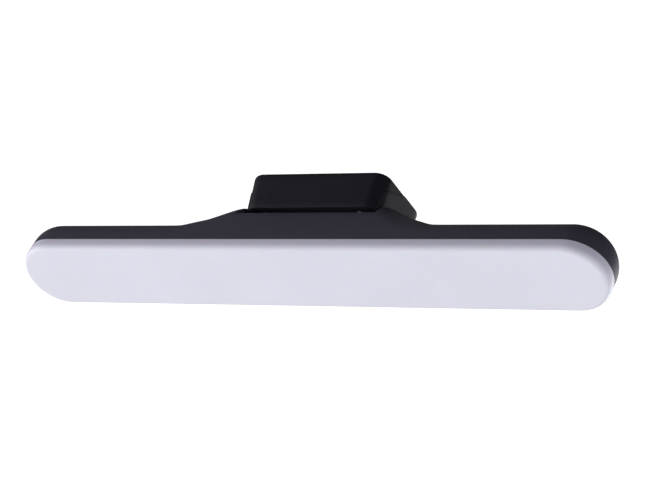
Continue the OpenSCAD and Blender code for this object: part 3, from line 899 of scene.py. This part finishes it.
def shell_room():
    """Rings of the shell's inside, from its roof to its mouth."""
    half_l, half_w = PLATE_HIGH.x - END_WALL, PLATE_HIGH.y + PLATE_PLAY
    return [rounded_plan(half_l, half_w, ROOM_CORNER, BLOCK_HIGH.z - ROOF),
            rounded_plan(half_l, half_w, ROOM_CORNER, BLOCK_LOW.z + MOUTH_FLARE),
            rounded_plan(half_l + MOUTH_FLARE, half_w + MOUTH_FLARE, ROOM_CORNER + MOUTH_FLARE,
                         BLOCK_LOW.z)]


def shell_foot():
    """Rings of the shell's softened lower edge."""
    s = sizes()
    half_l, half_w = BLOCK_HIGH.x - s.block_draft, BLOCK_HIGH.y - s.block_draft
    return [rounded_plan(half_l - inset, half_w - inset, s.block_corner - inset, BLOCK_LOW.z + rise)
            for inset, rise in ((FOOT_ROUND, 0), (0.08 * MM, 0.1 * MM))]


def pad_seat():
    """Rings of the seat that holds the grip pad, from its bevel to its floor."""
    half_l, half_w, corner = PAD_HIGH.x + PAD_PLAY, PAD_HIGH.y + PAD_PLAY, PAD_CORNER + PAD_PLAY
    bevel = ((SEAT_FLARE, BLOCK_HIGH.z), (0, BLOCK_HIGH.z - SEAT_FLARE), (0, PAD_LOW.z))
    return [rounded_plan(half_l + flare, half_w + flare, corner + flare, level)
            for flare, level in bevel]


class LIGHTBAR_OT_block_shell(bpy.types.Operator):
    """Build the mount block's shell with the seats of its pad and its end caps"""

    bl_idname = "light_bar.block_shell"
    bl_label = "Block shell"

    def execute(self, context):
        rings = shell_room() + shell_foot() + block_rings(0, BLOCK_LOW.z + FOOT_ROUND) + pad_seat()
        shell = object_from("mount_block_shell", closed_loft("mount_block_shell", rings))
        for side in (-1, 1):
            combine(shell, cap_zone(side, CAP_SEAM), "DIFFERENCE")
        combine(shell, hinge_tool(), "DIFFERENCE")
        finish_piece(shell, "mount_block", "base_shell",
                     spark_black("satin_black_block", finishes().block_black, 0.55, 0.10))
        return {"FINISHED"}


class LIGHTBAR_OT_end_caps(bpy.types.Operator):
    """Build the slanted covers on both ends of the block"""

    bl_idname = "light_bar.end_caps"
    bl_label = "End caps"

    def execute(self, context):
        for side, name in ((-1, "left_end_cap"), (1, "right_end_cap")):
            rings = block_rings(sizes().cap_proud, BLOCK_LOW.z + CAP_FOOT)
            cap = object_from(name + "_cover", closed_loft(name, rings))
            combine(cap, cap_zone(side, 0), "INTERSECT")
            combine(cap, hinge_tool(), "DIFFERENCE")
            rounded_edges(cap, CAP_EDGE, 3, 35)
            # the caps' lighter black is painted light on the block's ends
            finish_piece(cap, "mount_block", name,
                         spark_black(name + "_black", finishes().cap_painted_light_black, 0.55, 0.10))
        return {"FINISHED"}


class LIGHTBAR_OT_grip_pad(bpy.types.Operator):
    """Build the grip pad with its soft edge and the fine groove inside it"""

    bl_idname = "light_bar.grip_pad"
    bl_label = "Grip pad"

    def execute(self, context):
        half_l, half_w = PAD_HIGH.x, PAD_HIGH.y
        soft = 0.25 * MM
        rings = [rounded_plan(half_l, half_w, PAD_CORNER, PAD_LOW.z)]
        for i in range(5):
            turn = math.radians(90 * i / 4)
            inset = soft * (1 - math.cos(turn))
            level = PAD_HIGH.z - soft * (1 - math.sin(turn))
            rings.append(rounded_plan(half_l - inset, half_w - inset, PAD_CORNER, level))
        groove, width, slant, corner = 2.2 * MM, 0.75 * MM, 0.15 * MM, 3 * MM
        for step, drop in ((0, 0), (slant, slant), (width - slant, slant), (width, 0)):
            inset = groove + step
            rings.append(rounded_plan(half_l - inset, half_w - inset, corner, PAD_HIGH.z - drop))
        pad = object_from("grip_pad_sheet", closed_loft("grip_pad_sheet", rings))
        finish_piece(pad, "mount_block", "grip_pad",
                     silicone("grip_silicone", finishes().rubber_grey))
        return {"FINISHED"}


# ---------------------------------------------------------------- controls

FLANGE_GROW = 1.2 * MM                  # how far the button's flange stands out at each end
FLANGE_DEPTH = 1.4 * MM
CAP_DEPTH = 4.1 * MM                    # from the button's face back to its flange
STEM_RADIUS = 1.6 * MM
COLLAR_GROW = 0.9 * MM                  # how far the lens's collar stands out round it


def button_cap_box():
    """The part of the power button that fills its slot: it is narrower than its flange."""
    step = Vector((FLANGE_GROW, 0, 0))
    return BUTTON_LOW + step, BUTTON_HIGH - step


def lens_box():
    """The thin front of the status lens, without the collar behind it."""
    step = Vector((COLLAR_GROW, 0, COLLAR_GROW))
    return LENS_LOW + step, LENS_HIGH - step


def slot_ring(half_l, half_h, cx, y, cz):
    """Closed ring with round ends, across the bar at y."""
    flat = half_l - half_h
    outline = arc((flat, 0), half_h, -90, 90, 12) + arc((-flat, 0), half_h, 90, 270, 12)
    return [(cx + x, y, cz + z) for x, z in outline]


class LIGHTBAR_OT_controls(bpy.types.Operator):
    """Build the power button with its dished face, flange and stem"""

    bl_idname = "light_bar.controls"
    bl_label = "Power button"

    def execute(self, context):
        low, high = button_cap_box()
        cx, cz = (low.x + high.x) / 2, (low.z + high.z) / 2
        half_l, half_h = (high.x - low.x) / 2, (high.z - low.z) / 2
        face = BUTTON_HIGH.y
        step = face - CAP_DEPTH
        back = step - FLANGE_DEPTH
        soft = 0.45 * MM
        stem = (STEM_RADIUS, STEM_RADIUS * 0.999)      # the short flat keeps its points apart
        flange = (half_l + FLANGE_GROW, half_h - 0.2 * MM)
        rings = [slot_ring(*stem, cx, BUTTON_LOW.y, cz), slot_ring(*stem, cx, back, cz),
                 slot_ring(*flange, cx, back, cz), slot_ring(*flange, cx, step, cz),
                 slot_ring(half_l, half_h - 0.001 * MM, cx, step, cz)]
        for i in range(6):
            turn = math.radians(90 * i / 5)
            inset = soft * (1 - math.cos(turn))
            y = face - soft * (1 - math.sin(turn))
            rings.append(slot_ring(half_l - inset, half_h - inset, cx, y, cz))
        for i in range(1, 7):
            share = i / 6
            inset = soft + share * (half_h - soft) * 0.92
            drop = sizes().button_dish * (1 - math.cos(share * math.pi)) / 2
            rings.append(slot_ring(half_l - inset, half_h - inset, cx, face - drop, cz))
        button = object_from("power_button_cap", closed_loft("power_button_cap", rings))
        put_in_place(button.data)
        finish_piece(button, "button", "power_button",
                     spark_black("power_button_black", finishes().button_black, 0.38, 0.42, 3200))
        return {"FINISHED"}


# ---------------------------------------------------------------- carried-over solids

def inner_materials():
    """Material of each CAD node that keeps its own shape."""
    steel = turned_metal("nickel_screw", (0.62, 0.63, 0.65), 0.28)
    pin = turned_metal("ground_pin", (0.56, 0.57, 0.59), 0.22, 1500)
    chip = plain_moulding("moulded_chip", (0.030, 0.030, 0.032), 0.45)
    return {
        # The plate's black is darker than the block's, as painted shade in the gap between the block
        # and the hump
        "base_plate": spark_black("matt_black_plate_painted_shade", (0.004, 0.004, 0.005), 0.6, 0.1, 2000),
        "base_screws": steel,
        "tray_screws": steel,
        "board_screws": steel,
        "magnets": turned_metal("nickel_magnet", (0.70, 0.70, 0.71), 0.16, 400),
        "yoke_plate": turned_metal("zinc_yoke", (0.48, 0.50, 0.53), 0.38, 700, (0.05, 1, 1)),
        "hinge_bushes": turned_metal("turned_brass", (0.72, 0.52, 0.23), 0.26, 1800),
        "left_hinge_pin": pin,
        "right_hinge_pin": pin,
        "friction_washers": turned_metal("spring_washer", (0.44, 0.45, 0.47), 0.3, 1100),
        "light_tray": plain_moulding("white_tray", (0.86, 0.86, 0.85), 0.42, 0.02),
        "led_board": circuit_board("white_board", (0.84, 0.85, 0.86), (0.74, 0.75, 0.77)),
        "leds": phosphor("led_phosphor", (0.93, 0.78, 0.20), (0.92, 0.92, 0.90)),
        "battery_cell": foil_pouch("cell_pouch", (0.38, 0.48, 0.60)),
        "battery_pad": foam("foam_tape", (0.05, 0.05, 0.055)),
        "battery_leads": plain_moulding("red_sleeve", (0.48, 0.02, 0.03), 0.4, 0.1),
        "led_leads": plain_moulding("white_sleeve", (0.72, 0.72, 0.68), 0.4, 0.05),
        "control_board": circuit_board("green_board", (0.015, 0.12, 0.055), (0.03, 0.20, 0.09)),
        "driver_parts": chip,
        "tact_switch": chip,
        "battery_socket": plain_moulding("nylon_socket", (0.80, 0.77, 0.68), 0.48, 0.04),
        "usb_port": turned_metal("tinned_port", (0.66, 0.67, 0.69), 0.24, 900, (1, 0.06, 1)),
        "switch_plunger": plain_moulding("amber_plunger", (0.60, 0.34, 0.04), 0.35, 0.06),
        "status_lens": clear_guide("clear_lens"),
    }


class LIGHTBAR_OT_inner(bpy.types.Operator):
    """Give every CAD solid that keeps its shape its material"""

    bl_idname = "light_bar.inner"
    bl_label = "Inner pieces"

    def execute(self, context):
        for node, material in inner_materials().items():
            solid = frame["nodes"][node]
            if not solid.material_slots:
                raise RuntimeError(f"CAD node {node} has no material slot")
            for slot in solid.material_slots:
                slot.material = material
        return {"FINISHED"}


# ---------------------------------------------------------------- studio

# Where the camera stands round the part, and how it is turned about its own line of sight
VIEW_AZIMUTH = 35.334
VIEW_ELEVATION = -26.584
VIEW_ROLL = 17.659
VIEW_DISTANCE = 1.1072
VIEW_LENS = 132.887
AIM_FROM_HINGE = Vector((-0.976, 2.566, -5.311)) * MM
FLOOR_DROP = 1.75                       # the part hangs this far above the floor
FLOOR_REACH = 8.0

# Each soft light: its place from the hinge in metres, its side in metres and its power in watts
SOFT_LIGHTS = {
    "key": ((-0.30, -0.20, -1.45), 1.0, 2),
    "front_fill": ((-1.25, -1.05, -0.20), 1.2, 13),
    "left_fill": ((-1.1, -0.25, -0.05), 0.8, 4.5),
    "right_fill": ((1.6, -0.35, -0.45), 0.8, 8),
    "top_soft": ((-0.8, 0.5, 1.4), 1.0, 0.35),
    "rear_fill": ((0.5, 1.7, 0.45), 1.2, 16),
}


def camera_axes(azimuth, elevation, roll):
    """Right, up and back of a camera at that azimuth, elevation and roll in degrees."""
    a, e, r = (math.radians(v) for v in (azimuth, elevation, roll))
    back = Vector((math.sin(a) * math.cos(e), -math.cos(a) * math.cos(e), math.sin(e)))
    level_right = Vector((0, 0, 1)).cross(back).normalized()
    level_up = back.cross(level_right)
    right = level_right * math.cos(r) + level_up * math.sin(r)
    up = level_up * math.cos(r) - level_right * math.sin(r)
    return right, up, back


def soft_light(name, away, size, power):
    """Square soft light that stands away from the hinge and shines at it."""
    data = bpy.data.lights.new(name, "AREA")
    data.shape = "SQUARE"
    data.size = size
    data.energy = power
    lamp = bpy.data.objects.new(name, data)
    lamp.location = HINGE + Vector(away)
    lamp.rotation_euler = (-Vector(away)).to_track_quat("-Z", "Y").to_euler()
    bpy.context.scene.collection.objects.link(lamp)


def studio_world(fill, backdrop):
    """Even fill light, with a plain white backdrop for the camera."""
    world = bpy.data.worlds.new("studio")
    world.use_nodes = True
    tree = world.node_tree
    background = tree.nodes["Background"]
    background.inputs["Color"].default_value = (0.95, 0.96, 1.0, 1)
    background.inputs["Strength"].default_value = fill
    white = tree.nodes.new("ShaderNodeBackground")
    white.inputs["Color"].default_value = (1, 1, 1, 1)
    white.inputs["Strength"].default_value = backdrop
    path = tree.nodes.new("ShaderNodeLightPath")
    mix = tree.nodes.new("ShaderNodeMixShader")
    tree.links.new(path.outputs["Is Camera Ray"], mix.inputs[0])
    tree.links.new(background.outputs[0], mix.inputs[1])
    tree.links.new(white.outputs[0], mix.inputs[2])
    tree.links.new(mix.outputs[0], tree.nodes["World Output"].inputs["Surface"])
    bpy.context.scene.world = world


class LIGHTBAR_OT_stage(bpy.types.Operator):
    """Set up the camera, the soft lights, the backdrop and the floor"""

    bl_idname = "light_bar.stage"
    bl_label = "Studio"

    def execute(self, context):
        self.place_camera()
        self.place_floor()
        for name, (away, size, power) in SOFT_LIGHTS.items():
            soft_light(name, away, size, power)
        studio_world(fill=0.07, backdrop=1.15)
        context.scene.view_settings.view_transform = "Standard"
        return {"FINISHED"}

    def place_camera(self):
        """Camera in front of the part, below it and to its right."""
        right, up, back = camera_axes(VIEW_AZIMUTH, VIEW_ELEVATION, VIEW_ROLL)
        data = bpy.data.cameras.new("studio_camera")
        data.sensor_width = 36
        data.lens = VIEW_LENS
        camera = bpy.data.objects.new("studio_camera", data)
        turn = Matrix((right, up, back)).transposed().to_4x4()
        spot = HINGE + AIM_FROM_HINGE + back * VIEW_DISTANCE
        camera.matrix_world = Matrix.Translation(spot) @ turn
        data.clip_start = 0.05
        data.clip_end = 30
        bpy.context.scene.collection.objects.link(camera)
        bpy.context.scene.camera = camera

    def place_floor(self):
        """Square floor far below the part."""
        level = CAD_BOX[0][2] - FLOOR_DROP
        corners = [(sx * FLOOR_REACH, sy * FLOOR_REACH, level)
                   for sx, sy in ((-1, -1), (1, -1), (1, 1), (-1, 1))]
        floor = object_from("studio_floor", mesh_from("studio_floor", corners, [(0, 1, 2, 3)]))
        floor.data.materials.append(painted_floor("pale_floor", finishes().floor_pale))


# ---------------------------------------------------------------- add-on

class LIGHTBAR_PT_panel(bpy.types.Panel):
    """Lists the sizes, the finishes and the steps that build the part"""

    bl_label = "Light bar"
    bl_idname = "LIGHTBAR_PT_panel"
    bl_space_type = "VIEW_3D"
    bl_region_type = "UI"
    bl_category = "Light bar"

    def draw(self, context):
        layout = self.layout
        for group in (context.scene.light_bar_sizes, context.scene.light_bar_finishes):
            box = layout.box()
            for name in group.__annotations__:
                box.prop(group, name)
        for step in STEPS:
            layout.operator(step.bl_idname)


STEPS = (
    LIGHTBAR_OT_stage,
    LIGHTBAR_OT_housing,
    LIGHTBAR_OT_diffuser,
    LIGHTBAR_OT_block_shell,
    LIGHTBAR_OT_end_caps,
    LIGHTBAR_OT_grip_pad,
    LIGHTBAR_OT_controls,
    LIGHTBAR_OT_inner,
)
CLASSES = (LightBarSizes, LightBarFinishes, *STEPS, LIGHTBAR_PT_panel)


def register():
    """Registers the classes and hangs both property groups on the scene."""
    for cls in CLASSES:
        bpy.utils.register_class(cls)
    bpy.types.Scene.light_bar_sizes = PointerProperty(type=LightBarSizes)
    bpy.types.Scene.light_bar_finishes = PointerProperty(type=LightBarFinishes)


def unregister():
    """Takes away what register() added."""
    del bpy.types.Scene.light_bar_finishes
    del bpy.types.Scene.light_bar_sizes
    for cls in reversed(CLASSES):
        bpy.utils.unregister_class(cls)


def main():
    """Registers the add-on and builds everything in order."""
    register()
    bpy.ops.light_bar.stage()
    bpy.ops.light_bar.housing()
    bpy.ops.light_bar.diffuser()
    bpy.ops.light_bar.block_shell()
    bpy.ops.light_bar.end_caps()
    bpy.ops.light_bar.grip_pad()
    bpy.ops.light_bar.controls()
    bpy.ops.light_bar.inner()


if __name__ == "__main__":
    main()
